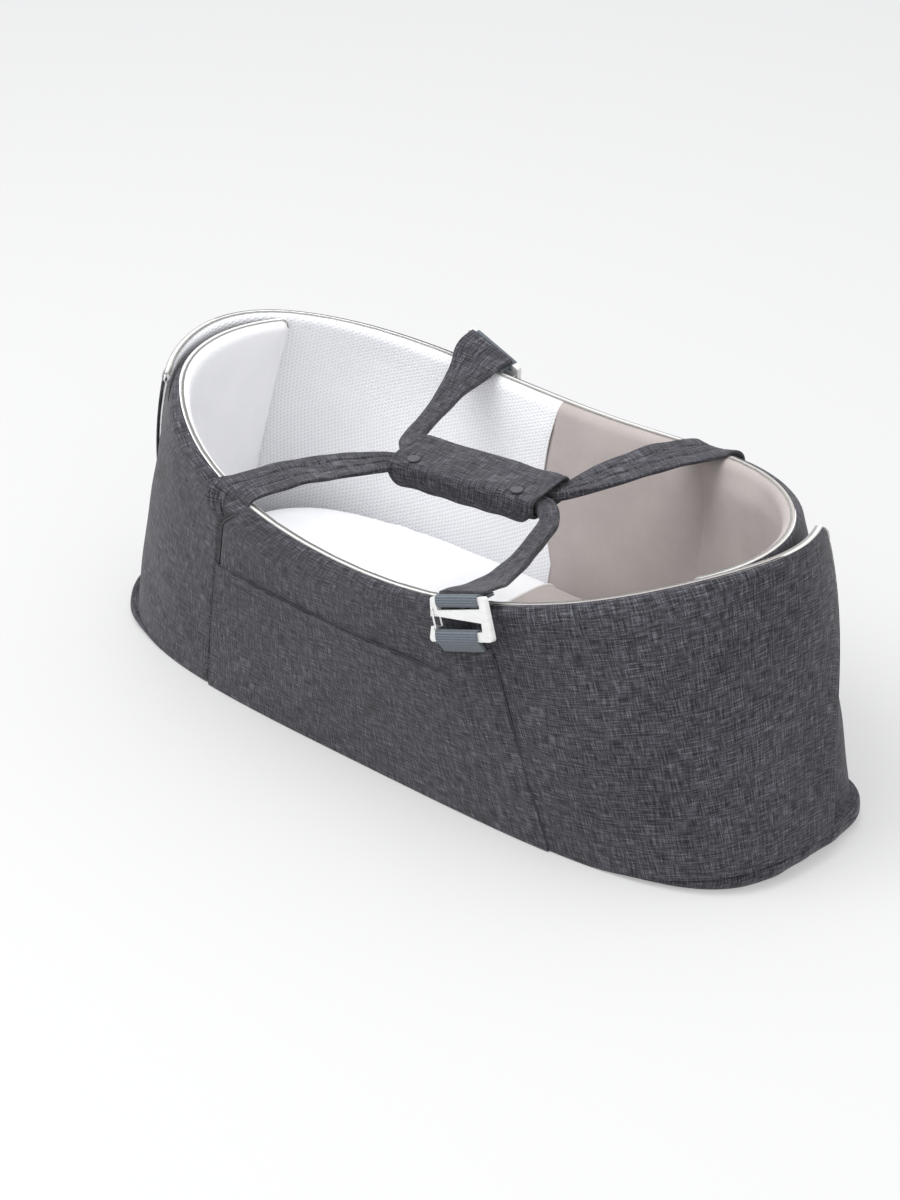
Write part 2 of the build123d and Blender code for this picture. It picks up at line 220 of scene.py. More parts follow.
def jerseyPaint(colour, shade, distance=0.0006):  # smooth knit: faint wales and soft mottling
    def paint(wire):
        place = objectPlace(wire)
        apart = place.node("ShaderNodeSeparateXYZ", None, {0: place})
        grain = noise(place, (900, 900, 900), 2.0)
        mottle = noise(place, (26, 26, 26), 2.0)
        wales = apart.wave(0.0016) * 0.5 + 0.5
        value = grain * 0.5 + mottle * 0.5
        height = grain * 0.6 + wales * 0.4
        return {
            "Base Color": ramp(value, ((0.32, shade), (0.66, colour))), "Roughness": 0.82,
            "Sheen Weight": 0.15, "Specular IOR Level": 0.25, "Normal": relief(height, 0.25, distance),
        }
    return paint


spacer = {"pitch": 0.0034, "light": (0.92, 0.925, 0.945), "hole": (0.77, 0.78, 0.81)}


def spacerPaint(wire):  # warp-knitted spacer mesh: small holes on a slanting lattice
    place, across, down = clothPlace(wire)
    first = (across * 0.5 + down * 0.866).wave(spacer["pitch"])
    second = (across * 0.5 - down * 0.866).wave(spacer["pitch"])
    lattice = (first + second + across.wave(spacer["pitch"])) * 0.1667 + 0.5
    mottle = noise(place, (30, 30, 1), 2.0) * 0.12
    value = lattice + mottle
    return {
        "Base Color": ramp(value, ((0.30, spacer["hole"]), (0.62, spacer["light"]))), "Roughness": 0.8,
        "Sheen Weight": 0.1, "Normal": relief(lattice, 0.45, 0.0010),
    }


def webbingPaint(wire):  # close ribs across the strap, darker between them
    place, across, down = clothPlace(wire)
    ribs = down.wave(0.0021) * 0.5 + 0.5
    threads = across.wave(0.0014) * 0.5 + 0.5
    flecks = noise(place, (260, 900, 1), 2.0)
    value = ribs * 0.35 + threads * 0.15 + flecks * 0.5
    return {
        "Base Color": ramp(value, ((0.28, (0.055, 0.068, 0.082)), (0.72, (0.145, 0.168, 0.198)))),
        "Roughness": 0.62, "Sheen Weight": 0.1, "Normal": relief(value, 0.5, 0.0008),
    }


def metalPaint(colour, metallic, roughness):  # satin coat with a fine grain and light handling marks
    def paint(wire):
        place = objectPlace(wire)
        grain = noise(place, (2400, 2400, 2400), 2.0)
        marks = noise(place, (120, 120, 700), 3.0)
        return {
            "Base Color": ramp(marks, ((0.30, tuple(0.90 * c for c in colour)), (0.62, colour))),
            "Metallic": metallic, "Roughness": marks * 0.16 + (roughness - 0.08), "Coat Weight": 0.25,
            "Normal": relief(grain, 0.12, 0.0002),
        }
    return paint


def grainPaint(dark, light, size, strength):  # foam, board and moulded plastic
    def paint(wire):
        place = objectPlace(wire)
        coarse, fine = noise(place, (size,) * 3, 3.0), noise(place, (size * 5,) * 3, 2.0)
        value = coarse * 0.6 + fine * 0.4
        return {
            "Base Color": ramp(value, ((0.35, dark), (0.65, light))), "Roughness": fine * 0.2 + 0.4,
            "Normal": relief(value, strength, 0.0006),
        }
    return paint


cloths = {
    "charcoalCloth": ("charcoal_fabric", charcoalPaint),
    "whiteSpacer": ("white_mesh", spacerPaint),
    "whiteJersey": ("white_mesh", jerseyPaint((0.93, 0.932, 0.945), (0.875, 0.88, 0.90))),
    "taupeJersey": ("taupe_fabric", jerseyPaint((0.490, 0.440, 0.425), (0.415, 0.370, 0.355))),
    "creamTrim": ("rim_trim", jerseyPaint((0.83, 0.82, 0.80), (0.74, 0.725, 0.70))),
    "foamFill": ("foam", grainPaint((0.50, 0.49, 0.46), (0.68, 0.67, 0.64), 600, 0.4)),
    "fibreBoard": ("board", grainPaint((0.16, 0.12, 0.08), (0.30, 0.23, 0.16), 300, 0.3)),
    "whiteMetal": ("white_metal", metalPaint((0.80, 0.80, 0.79), 0.20, 0.36)),
    "wireSteel": ("wire_steel", metalPaint((0.80, 0.80, 0.80), 0.85, 0.28)),
    "slateWebbing": ("slate_webbing", webbingPaint),
    "snapPlastic": ("snap_plastic", grainPaint((0.060, 0.060, 0.066), (0.095, 0.095, 0.103), 900, 0.2)),
    # dark thread for the real stitches; the same dark colour also serves as painted shade on the seam, band-edge and
    # pocket-mouth lines
    "darkThreadAndShade": ("charcoal_fabric", grainPaint((0.018, 0.018, 0.022), (0.045, 0.045, 0.052), 1500, 0.4)),
}
materials = {name: newMaterial(name, paint) for name, (_, paint) in cloths.items()}
print("stage: materials")


# Mesh helpers
def dress(mesh, cloth):  # gives a mesh this cloth and no other
    mesh.materials.clear()
    mesh.materials.append(materials[cloth])


def shadeSmooth(mesh):
    mesh.polygons.foreach_set("use_smooth", np.ones(len(mesh.polygons), bool))


def readPoints(piece):
    points = np.zeros(len(piece.data.vertices) * 3)
    piece.data.vertices.foreach_get("co", points)
    return points.reshape(-1, 3)


def cornerUV(grid):
    return np.stack([grid[:-1, :-1], grid[:-1, 1:], grid[1:, 1:], grid[1:, :-1]], -2).reshape(-1, 4, grid.shape[-1])


def makePiece(name, points, cloth, wrap=False, closeEnds=False, turnOver=False):
    # Joins a grid of rows and columns of points into faces. wrap joins the last column to the first, closeEnds fans
    # the first and last rows shut, turnOver faces it the other way. The cloth map is metres across and down.
    rows, columns = points.shape[:2]
    index = np.arange(rows * columns).reshape(rows, columns)
    full = points
    if wrap:
        index = np.hstack([index, index[:, :1]])
        full = np.concatenate([points, points[:, :1]], 1)
    across = np.linalg.norm(np.diff(full, axis=1), axis=2).mean(0)
    down = np.linalg.norm(np.diff(full, axis=0), axis=2).mean(1)
    u, v = np.concatenate([[0], np.cumsum(across)]), np.concatenate([[0], np.cumsum(down)])
    metres = np.stack(np.meshgrid(u, v), -1)
    faces = cornerUV(index[..., None]).reshape(-1, 4)
    corners = cornerUV(metres)
    vertices = points.reshape(-1, 3)
    if turnOver:
        faces, corners = faces[:, ::-1], corners[:, ::-1]
    faceList, cornerList = faces.tolist(), corners.reshape(-1, 2)
    if closeEnds:
        vertices = np.vstack([vertices, points[0].mean(0), points[-1].mean(0)])
        hubs = (rows * columns, rows * columns + 1)
        for row, hub, flip in ((0, hubs[0], True), (-1, hubs[1], False)):
            ring = np.stack([index[row, :-1], index[row, 1:], np.full(len(index[row]) - 1, hub)], -1)
            place = np.stack([metres[row, :-1], metres[row, 1:], metres[row, 1:] + 0.002], 1)
            if flip != turnOver:
                ring, place = ring[:, ::-1], place[:, ::-1]
            faceList += ring.tolist()
            cornerList = np.vstack([cornerList, place.reshape(-1, 2)])
    mesh = bpy.data.meshes.new(name)
    mesh.from_pydata(vertices.tolist(), [], faceList)
    mesh.uv_layers.new(name="cloth").data.foreach_set("uv", cornerList.astype(np.float32).ravel())
    shadeSmooth(mesh)
    mesh.materials.append(materials[cloth])
    return addObject(name, mesh, cloth)


def settle(piece, sharp=None):  # makes the modifiers' result the piece's own mesh
    graph = bpy.context.evaluated_depsgraph_get()
    final = bpy.data.meshes.new_from_object(
        piece.evaluated_get(graph), preserve_all_data_layers=True, depsgraph=graph)
    piece.modifiers.clear()
    piece.data = final
    if sharp:
        final.set_sharp_from_angle(angle=math.radians(sharp))
    return piece


def softEdge(piece, width, segments, limit):  # rounds the edges sharper than the limit in degrees
    edge = piece.modifiers.new("softEdge", "BEVEL")
    edge.width, edge.segments, edge.angle_limit = width, segments, math.radians(limit)
    edge.use_clamp_overlap = True


def thicken(piece, thickness, bevel=0.0):
    solid = piece.modifiers.new("thickness", "SOLIDIFY")
    solid.thickness, solid.offset, solid.use_even_offset = thickness, -1, True
    if bevel:
        softEdge(piece, bevel, 2, 50)
    return settle(piece, sharp=55)


def placePiece(piece, body, nodes=()):
    if nodes:
        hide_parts(*nodes)
    if body:
        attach(piece, body)
    return piece


def ripple(u, v, seed, slowest, fastest, count=7):  # a sum of sines with seeded directions; u and v in metres
    draw = np.random.default_rng(seed)
    total = 0.0
    for _ in range(count):
        turn, speed = draw.uniform(0, 2 * pi), draw.uniform(slowest, fastest)
        total = total + np.sin(2 * pi * speed * (u * math.cos(turn) + v * math.sin(turn)) + draw.uniform(0, 2 * pi))
    return total / math.sqrt(count)


def smoothStep(value, low, high):
    share = np.clip((value - low) / (high - low), 0, 1)
    return share * share * (3 - 2 * share)


# The wall's shape
wall = {
    "baseLength": 0.385, "baseWidth": 0.146, "baseSquare": 3.5,
    "topLength": 0.335, "topWidth": 0.198, "topSquare": 2.0, "topLevel": 0.260,
    # the rim's heights run from the head end by quarters to the foot end
    "rimEnd": 0.352, "seamTop": 0.213, "rimReach": 0.340, "rimHeights": (0.267, 0.240, 0.2195, 0.230, 0.273),
    "tuckedEnd": -110.0, "outerEnd": 116.0,  # degrees round from the near side
    "lapShift": 0.012, "lapSpread": 60.0,
    "thickness": 0.020, "tuckedThickness": 0.012, "outerThickness": 0.008, "taperFrom": 56.0,
    "gussetFrom": 0.255, "gussetHeight": 0.021, "floorGap": 0.0006,
    "cornerRound": {"tucked": 0.010, "outer": 0.022}, "skin": 0.0016,
    "outerFloorEnd": 97.0, "flare": {"near": 0.009, "far": -0.005}, "side": "near",
    "endRadius": 0.19,  # metres along the rim for each radian round the ends
}
rimCurve = np.polyfit(np.array([-1, -0.5, 0, 0.5, 1]) * wall["rimReach"], wall["rimHeights"], 4)


def ovalReach(s, c, n):  # how far out a superellipse of squareness n lies in the direction s, c
    return (np.abs(s) ** n + np.abs(c) ** n) ** (-1 / n)


def lean(low, high, z):
    return wall[low] + (wall[high] - wall[low]) * z / wall["topLevel"]


def wallPoint(angle, z, inset):
    # A superellipse whose length, width and squareness change with the level, moved along at its ends so they lap
    turn = np.radians(angle)
    s, c, n = np.sin(turn), np.cos(turn), lean("baseSquare", "topSquare", z)
    size = ovalReach(s, c, n)
    shift = wall["lapShift"] * np.tanh(angle / wall["lapSpread"])
    flare = wall["flare"][wall["side"]]  # how far the outer end stands off
    shift = shift + flare * smoothStep(angle, 66, 100) * smoothStep(z, 0.08, 0.26)
    x = (lean("baseLength", "topLength", z) + shift - inset) * s * size
    y = -(lean("baseWidth", "topWidth", z) - inset) * c * size
    return np.stack(np.broadcast_arrays(x, y, z), -1)


def rimLevel(x):
    return np.polyval(rimCurve, np.clip(x, -wall["rimEnd"], wall["rimEnd"]))


def gussetLevel(x):  # flat along the middle, rising to the gusset's height at both ends
    share = np.clip((np.abs(x) - wall["gussetFrom"]) / (wall["baseLength"] - wall["gussetFrom"]), 0, 1)
    return wall["floorGap"] + (wall["gussetHeight"] - wall["floorGap"]) * share ** 1.5


def wallThickness(angle):
    end = np.where(angle > 0, wall["outerEnd"], -wall["tuckedEnd"])
    thin = np.where(angle > 0, wall["outerThickness"], wall["tuckedThickness"])
    share = np.clip((np.abs(angle) - wall["taperFrom"]) / (end - wall["taperFrom"]), 0, 1)
    return wall["thickness"] + (thin - wall["thickness"]) * share


def angleAt(x, z):  # the angle whose point has this x, found by halving
    low, high = np.full(np.shape(z), -89.9), np.full(np.shape(z), 89.9)
    for _ in range(28):
        middle = (low + high) / 2
        beyond = wallPoint(middle, z, 0.0)[..., 0] > x
        low, high = np.where(beyond, low, middle), np.where(beyond, middle, high)
    return (low + high) / 2


def straightSeam(floorX, topX, offset=0.0):
    return lambda z: floorX + (topX - floorX) * z / wall["seamTop"] + offset


def headSeam(z):  # straight up the panel, then curving to the strap's edge
    return straightSeam(-0.203, -0.137)(z) + 0.030 * smoothStep(z, 0.196, 0.236)


footSeam = straightSeam(0.201, 0.154)
insertSeam = straightSeam(-0.150, -0.122)
underInsert = straightSeam(-0.150, -0.122, -0.005)  # the linings run on a little behind the inserts


def liningSeam(z):  # the line between the two linings bows a little as it rises
    return -0.058 - 0.012 * np.sin(pi * np.clip((z - 0.07) / 0.165, 0, 1)) + 0.012 * np.clip((0.13 - z) / 0.06, 0, 1)


def mirrored(seam):
    return lambda z: -seam(z)


slantedEnd = {"back": 0.0}  # the outer end, which leans back towards the floor


def edgeAngle(edge, z):
    if callable(edge):
        return angleAt(edge(z), z)
    if isinstance(edge, dict):
        share = np.clip(z / wall["topLevel"], 0, 1)
        return wall["outerFloorEnd"] + (wall["outerEnd"] - wall["outerFloorEnd"]) * share - edge["back"]
    return np.full(np.shape(z), edge)


def endGap(angle, edge, z):  # metres from an open end of the panel, or far away at a seam
    if callable(edge):
        return np.full(np.shape(angle), 1.0)
    return np.radians(np.abs(angle - edgeAngle(edge, z))) * wall["endRadius"]


def crestShare(angle):  # how much of the wall's thickness the outer face's share of the rounded crest takes
    return 0.5 - 0.32 * smoothStep(-angle, 40, 80) - 0.15 * smoothStep(angle, 60, 100)


def roundDepth(radius, *gaps):  # how deep a rounded edge has drawn the face in, so many metres from the edges
    reach = np.sqrt(sum(np.clip(radius - gap, 0, None) ** 2 for gap in gaps))
    return radius - np.sqrt(np.clip(radius ** 2 - np.minimum(reach, radius) ** 2, 0, None))


def cornerDrop(angle):  # the rim comes down in a quarter circle at each open end
    drop = 0.0
    for end, key in ((wall["tuckedEnd"], "tucked"), (wall["outerEnd"], "outer")):
        radius = wall["cornerRound"][key]
        gap = np.clip(radius - np.radians(np.abs(angle - end)) * wall["endRadius"], 0, radius)
        drop = drop + radius - np.sqrt(radius ** 2 - gap ** 2)
    return drop


def crestRadius(angle, face):  # how far one face of the wall rounds over at the crest
    return wallThickness(angle) * (crestShare(angle) if face == 0 else 1 - crestShare(angle))


def wallSheet(left, right, columns, face, rows=46, proud=0.0, high=None, low=gussetLevel, swell=None):
    # A sheet on the near panel between two edges, each an end angle or a seam. face 0 is the outer face and 1 the
    # inner one. Rows run down from the crest, or from the level that high gives. swell(x, z, u) adds fullness.
    share = np.linspace(0, 1, columns)
    share = share - 0.10 * np.sin(2 * pi * share)
    crest = 1 - np.cos(np.linspace(0, pi / 2, 9))[:, None]
    z = np.full((rows, columns), 0.15)
    for _ in range(8):
        starts, ends = edgeAngle(left, z[:, :1]), edgeAngle(right, z[:, -1:])
        angle = starts + (ends - starts) * share
        x = wallPoint(angle, z, 0.0)[..., 0]
        radius = crestRadius(angle[0], face)
        if high is None:
            top = rimLevel(x[0]) - cornerDrop(angle[0])
            rest = radius + (top - low(x[-1]) - radius) * np.linspace(0, 1, rows - 8)[1:, None]
            drop = np.vstack([crest * radius, rest])
        else:
            top = high(x[0])
            drop = (top - low(x[-1])) * np.linspace(0, 1, rows)[:, None]
        z = top - drop
    gap = np.minimum(endGap(angle, left, z), endGap(angle, right, z))
    thick = wallThickness(angle)
    depth = roundDepth(crestRadius(angle, face), drop if high is None else np.full(z.shape, 1.0), gap) - proud
    calm = smoothStep(np.minimum(drop, gap), 0.004, 0.030) * smoothStep(z - low(x), 0.0, 0.020)
    if swell:
        depth = depth - swell(x, z, share) * calm
    for edge, column in ((left, 0), (right, -1)):
        if callable(edge) and proud == 0:
            atSeam = np.exp(-((x - x[:, [column]]) / 0.0040) ** 2)
            depth = depth + (0.0022 - 0.0012 * face) * atSeam * smoothStep(drop, 0.0, 0.02)
    inset = face * thick + (1 - 2 * face) * depth
    return wallPoint(angle, z, inset)


# Outer panels
outerPanels = {
    "headPanel": {"left": wall["tuckedEnd"], "right": headSeam, "columns": 96, "node": "head_outer_panel", "seed": 3},
    "centrePanel": {"left": headSeam, "right": footSeam, "columns": 96, "node": "centre_outer_panel", "seed": 5},
    "footPanel": {"left": footSeam, "right": slantedEnd, "columns": 96, "node": "foot_outer_panel", "seed": 8},
}


def outerSwell(seed, amount):
    return lambda x, z, u: amount * (0.55 * ripple(x, z, seed, 2.5, 8.0) + 0.25 * ripple(x, z, seed + 20, 10.0, 22.0))


for key, panel in outerPanels.items():
    for side, turn in sides.items():
        wall["side"] = side
        swell = outerSwell(panel["seed"] + (0 if side == "near" else 40), 0.0016)
        points = wallSheet(panel["left"], panel["right"], panel["columns"], 0, rows=60, swell=swell)
        piece = makePiece(side + key[0].upper() + key[1:], points * turn, "charcoalCloth", turnOver=True)
        placePiece(thicken(piece, wall["skin"]), "cot", [f"{side}_{panel['node']}"])
print("stage: outer panels")

# Linings
puffs = {"depth": 0.0042, "wrinkle": 0.0044, "wrinkleLength": 0.013}


def insertSwell(wrinkled):
    # The end padding stands proud of the side lining, and upright wrinkles gather towards its open end
    def swell(x, z, u):
        full = puffs["depth"] * smoothStep(1 - u, 0.0, 0.06)
        gather = smoothStep(1 - u, 0.30, 0.62) * smoothStep(z, 0.10, 0.20)
        folds = np.sin(2 * pi * (1 - u) * 0.30 / puffs["wrinkleLength"] + 2.2 * np.sin(z * 31) + 0.8 * np.sin(z * 70))
        soft = 0.0016 * ripple(x, z, 31, 4, 11)
        return full + soft + (puffs["wrinkle"] * gather * folds * (0.6 + 0.4 * np.sin(u * 23)) if wrinkled else 0)
    return swell


def plainSwell(seed, amount):
    return lambda x, z, u: amount * ripple(x, z, seed, 3.0, 9.0)


linings = {  # name: left, right, cloth, node, swell
    "nearHeadInsert": (wall["tuckedEnd"], insertSeam, "whiteJersey", "near_head_lining", insertSwell(False)),
    "nearHeadLining": (underInsert, liningSeam, "whiteSpacer", None, plainSwell(61, 0.0010)),
    "nearFootLining": (liningSeam, slantedEnd, "taupeJersey", "near_foot_lining", plainSwell(62, 0.0014)),
    "farFootInsert": (wall["tuckedEnd"], insertSeam, "taupeJersey", "far_foot_lining", insertSwell(True)),
    "farFootLining": (underInsert, mirrored(liningSeam), "taupeJersey", None, plainSwell(63, 0.0012)),
    "farHeadLining": (mirrored(liningSeam), slantedEnd, "whiteSpacer", "far_head_lining", plainSwell(64, 0.0012)),
}
for name, (left, right, cloth, node, swell) in linings.items():
    wall["side"] = "near" if name.startswith("near") else "far"
    turn = sides[wall["side"]]
    points = wallSheet(left, right, 110, 1, rows=60, swell=swell)
    piece = makePiece(name, points * turn, cloth)
    placePiece(thicken(piece, wall["skin"]), "cot", [node] if node else [])
print("stage: linings")

# Padding inside the walls
for side, turn in sides.items():
    wall["side"] = side
    depth = -(wall["skin"] + 0.0024)
    outer = wallSheet(wall["tuckedEnd"] + 1, {"back": 1.0}, 60, 0, rows=24, proud=depth)
    inner = wallSheet(wall["tuckedEnd"] + 1, {"back": 1.0}, 60, 1, rows=24, proud=depth)
    section = np.concatenate([outer[::-1], inner[1:]], 0).transpose(1, 0, 2)
    piece = makePiece(side + "WallPad", section * turn, "foamFill", wrap=True, closeEnds=True)
    placePiece(piece, "cot", [f"{side}_wall_padding"])


# Sweeps: a flat or round section carried along a path
def lengthsAlong(path):  # metres from the start to each point
    return np.concatenate([[0], np.cumsum(np.linalg.norm(np.diff(path, axis=0), axis=1))])


def pointsAt(places, lengths, values):  # the values at these lengths along
    return np.stack([np.interp(places, lengths, column) for column in values.T], -1)


def smoothPath(stations, count, reach):
    # Straight runs between stations, evened out by a bell-shaped average that keeps both ends in place
    stations = np.asarray(stations, float)
    lengths = lengthsAlong(stations[:, :3])
    along = np.linspace(0, lengths[-1], count)
    values = pointsAt(along, lengths, stations)
    if reach < 1:
        return values
    bell = np.hanning(2 * reach + 3)[1:-1]
    before = 2 * values[0] - values[1:reach + 1][::-1]
    after = 2 * values[-1] - values[-reach - 1:-1][::-1]
    padded = np.vstack([before, values, after])
    return np.stack([np.convolve(column, bell / bell.sum(), "valid") for column in padded.T], -1)


def unit(vectors):
    return vectors / np.linalg.norm(vectors, axis=-1, keepdims=True)


def sweep(path, across, sectionX, sectionY, sheared=False):
    # Each point is the path's, plus sectionX along the width direction and sectionY square to it and to the path
    along = unit(np.gradient(path, axis=0))
    across = np.broadcast_to(across, path.shape)
    if not sheared:
        across = unit(across - along * (across * along).sum(-1, keepdims=True))
    square = unit(np.cross(along, across))
    return path[:, None] + across[:, None] * sectionX[..., None] + square[:, None] * sectionY[..., None]


def flatSection(width, thick, count=44, power=4.0):
    # Both faces of a strap: thickness falls to nothing at the edges as a superellipse; width and thick are arrays
    turn = np.linspace(-pi / 2, pi / 2, count)
    across = np.concatenate([np.sin(turn), np.sin(turn)[::-1][1:-1]])
    face = np.concatenate([np.ones(count), -np.ones(count - 2)])
    body = (1 - np.abs(across) ** power) ** (1 / power)
    return across, np.outer(width / 2, across), np.outer(thick / 2, body * face)


def roundTube(name, path, across, radius, cloth, corners=10):
    turn = np.linspace(0, 2 * pi, corners, endpoint=False)
    radius = np.broadcast_to(radius, len(path))
    points = sweep(path, across, np.outer(radius, np.cos(turn)), np.outer(radius, np.sin(turn)))
    return makePiece(name, points, cloth, wrap=True, closeEnds=True, turnOver=True)


def stitchRow(name, path, normal, cloth="darkThreadAndShade", pitch=0.0042, length=0.0028, width=0.0007, rise=0.0005):
    # Short eight-faced stitches set end to end along a path
    steps = lengthsAlong(path)
    places = np.arange(pitch / 2, steps[-1], pitch)
    middle = pointsAt(places, steps, path)
    along = unit(pointsAt(places + 0.0005, steps, path) - pointsAt(places - 0.0005, steps, path))
    normal = np.broadcast_to(normal, path.shape)
    up = unit(pointsAt(places, steps, normal))
    side = unit(np.cross(along, up))
    corners = np.stack([
        middle - along * length / 2, middle + along * length / 2, middle - side * width / 2,
        middle + side * width / 2, middle + up * rise, middle - up * rise], 1)
    shape = np.array([(0, 2, 4), (2, 1, 4), (1, 3, 4), (3, 0, 4), (2, 0, 5), (1, 2, 5), (3, 1, 5), (0, 3, 5)])
    faces = (shape[None] + 6 * np.arange(len(middle))[:, None, None]).reshape(-1, 3)
    mesh = bpy.data.meshes.new(name)
    mesh.from_pydata(corners.reshape(-1, 3).tolist(), [], faces[:, ::-1].tolist())
    mesh.materials.append(materials[cloth])
    return addObject(name, mesh, cloth)


# Rim binding
binding = {"thin": 0.0009, "outerEnd": 0.0019}


def crestLine(count=260):  # along the crest, where the outer face and the lining meet
    angle = np.linspace(wall["tuckedEnd"] + 2.0, wall["outerEnd"] - 1.5, count)
    z = np.full(count, 0.25)
    for _ in range(6):
        inset = wallThickness(angle) * crestShare(angle)
        z = rimLevel(wallPoint(angle, z, inset)[:, 0]) - cornerDrop(angle)
    outward = unit(wallPoint(angle, z, 0.0) - wallPoint(angle, z, 0.01))
    return angle, wallPoint(angle, z, inset), outward


for side, turn in sides.items():
    wall["side"] = side
    angle, points, outward = crestLine()
    radius = binding["thin"] + (binding["outerEnd"] - binding["thin"]) * smoothStep(angle, 60, 100)
    lift = np.outer(radius * 0.1, (0, 0, 1))
    piece = roundTube(side + "RimBinding", (points - lift) * turn, outward * turn, radius, "creamTrim", 12)
    placePiece(piece, "cot", [f"{side}_rim_binding"])
print("stage: padding and binding")

# Pocket and buckle band
pocket = {"top": 0.152, "proud": 0.0019, "hem": 0.011}
band = {"floorX": 0.189, "topX": 0.147, "width": 0.050, "drop": 0.043, "station": 0.158, "tilt": 20.0}
bandTop = float(rimLevel(band["station"])) - band["drop"]


def bandEdge(offset):
    return straightSeam(band["floorX"], band["topX"], offset)


def bandHigh(x):
    middle = bandEdge(0)(bandTop)
    return bandTop + (x - middle) * math.tan(math.radians(band["tilt"]))


def onWall(x, z, depth):  # points of the near outer face for arrays of x and z
    return wallPoint(angleAt(x, z), z, depth)


for side, turn in sides.items():
    points = wallSheet(
        lambda z: headSeam(z) + 0.0006, bandEdge(-band["width"] / 2 - 0.0005), 90, 0, rows=40, proud=pocket["proud"],
        high=lambda x: np.full(np.shape(x), pocket["top"]), swell=outerSwell(71, 0.0012))
    lip = np.exp(-((pocket["top"] - points[..., 2]) / 0.006) ** 2) * 0.0016  # the mouth stands open a little
    points[..., 1] -= lip * np.sin(pi * np.linspace(0, 1, 90)) ** 0.5
    piece = makePiece(side + "SlipPocket", points * turn, "charcoalCloth", turnOver=True)
    placePiece(thicken(piece, wall["skin"]), "cot", [f"{side}_slip_pocket"])
    points = wallSheet(
        bandEdge(-band["width"] / 2), bandEdge(band["width"] / 2), 40, 0, rows=60, proud=0.0020, high=bandHigh,
        swell=lambda x, z, u: 0.0009 * ripple(x * 3, z, 83, 8, 22) * (1 - (2 * u - 1) ** 4))
    piece = makePiece(side + "BuckleBand", points * turn, "charcoalCloth", turnOver=True)
    placePiece(thicken(piece, wall["skin"]), "cot", [f"{side}_buckle_band"])
print("stage: pocket and band")

# Base
base = {"bulge": 0.0030, "lumps": 0.0016, "top": 0.0217, "floor": 0.0002}


def basePoints(columns=200):
    # A closed pillow with the wall's plan: out along the underside, up the gusset, and back over the top
    angle = np.linspace(-180, 180, columns, endpoint=False)
    turn = np.radians(angle)
    s, c, n = np.sin(turn), np.cos(turn), wall["baseSquare"]
    size = ovalReach(s, c, n)
    edge = np.stack([wall["baseLength"] * s * size, -wall["baseWidth"] * c * size], -1)
    away = unit(np.stack([np.sign(s) * np.abs(s) ** (n - 1), -np.sign(c) * np.abs(c) ** (n - 1)], -1))
    seam = gussetLevel(edge[:, 0])
    lumps = base["lumps"] * ripple(edge[:, 0], edge[:, 1] * 2, 91, 6, 16) * smoothStep(np.abs(edge[:, 0]), 0.22, 0.33)
    rows = []
    for share in (0.0, 0.25, 0.5, 0.75, 0.92, 0.965):
        rows.append((edge * share, np.full(columns, base["floor"])))
    for step in np.linspace(0, 1, 12):  # the gusset's face
        out = (base["bulge"] + lumps) * np.sin(pi * step) ** 0.7 * seam / wall["gussetHeight"]
        back = 0.006 * (1 - np.sin(pi * min(step + 0.12, 1.0) / 2) ** 0.6) * (step < 0.5)
        rows.append((edge + away * (out - 0.0012 - back)[:, None], base["floor"] + (seam - 0.0004) * step))
    for inset in (0.006, 0.014, 0.022):
        rows.append((edge - away * inset, seam - 0.0004))
    for inset, level in ((0.030, 0.9), (0.034, 1.0)):
        rows.append((edge - away * inset, seam + (base["top"] - seam) * level))
    for share in (0.7, 0.4, 0.1):
        rows.append((edge * share, np.full(columns, base["top"])))
    return np.stack([np.column_stack([flat, level]) for flat, level in rows])


piece = makePiece("baseGusset", basePoints(), "charcoalCloth", wrap=True, closeEnds=True)
placePiece(piece, "cot", ["base_tray", "base_pad"])
dress(frame["nodes"]["base_board"].data, "fibreBoard")
print("stage: base")

# Mattress
mattress = {
    "level": 0.0222, "height": 0.046, "margin": 0.0027, "edge": 0.014, "split": -0.022, "piping": 0.0016,
    "voxel": 0.006, "pressure": 4.0, "frames": 20, "cap": 0.005,
}


def mattressPoints(columns=150):
    # A flat pillow with rounded edges: the plan at the mattress's top level, shrunk as the edge turns over
    top = mattress["level"] + mattress["height"]
    n = lean("baseSquare", "topSquare", top)
    long = lean("baseLength", "topLength", top) - wall["thickness"] - wall["lapShift"] - mattress["margin"]
    wide = lean("baseWidth", "topWidth", mattress["level"] + mattress["height"] / 2)
    wide = wide - wall["thickness"] - mattress["margin"]
    turn = np.linspace(-pi, pi, columns, endpoint=False)
    s, c = np.sin(turn), np.cos(turn)
    size = ovalReach(s, c, n)
    roll = np.linspace(-pi / 2, pi / 2, 13)
    turned = mattress["edge"] / wide * (1 - np.cos(roll))
    inset = np.concatenate([[0.95, 0.7, 0.45, 0.25], turned, [0.25, 0.45, 0.7, 0.95]])
    half = mattress["height"] / 2 - 0.0012
    level = np.concatenate([[-half] * 4, half * np.sign(np.sin(roll)) * np.abs(np.sin(roll)) ** 0.8, [half] * 4])
    shrink = 1 - inset[:, None]
    x, y = (long - 0.002) * s * size, -(wide - 0.0015) * c * size
    x = np.sign(x) * np.clip(np.abs(x) - (1 - shrink) * wide, 0, None)
    z = np.broadcast_to(mattress["level"] + mattress["height"] / 2 + level[:, None], (len(level), columns))
    return np.stack([x, shrink * y, z], -1)


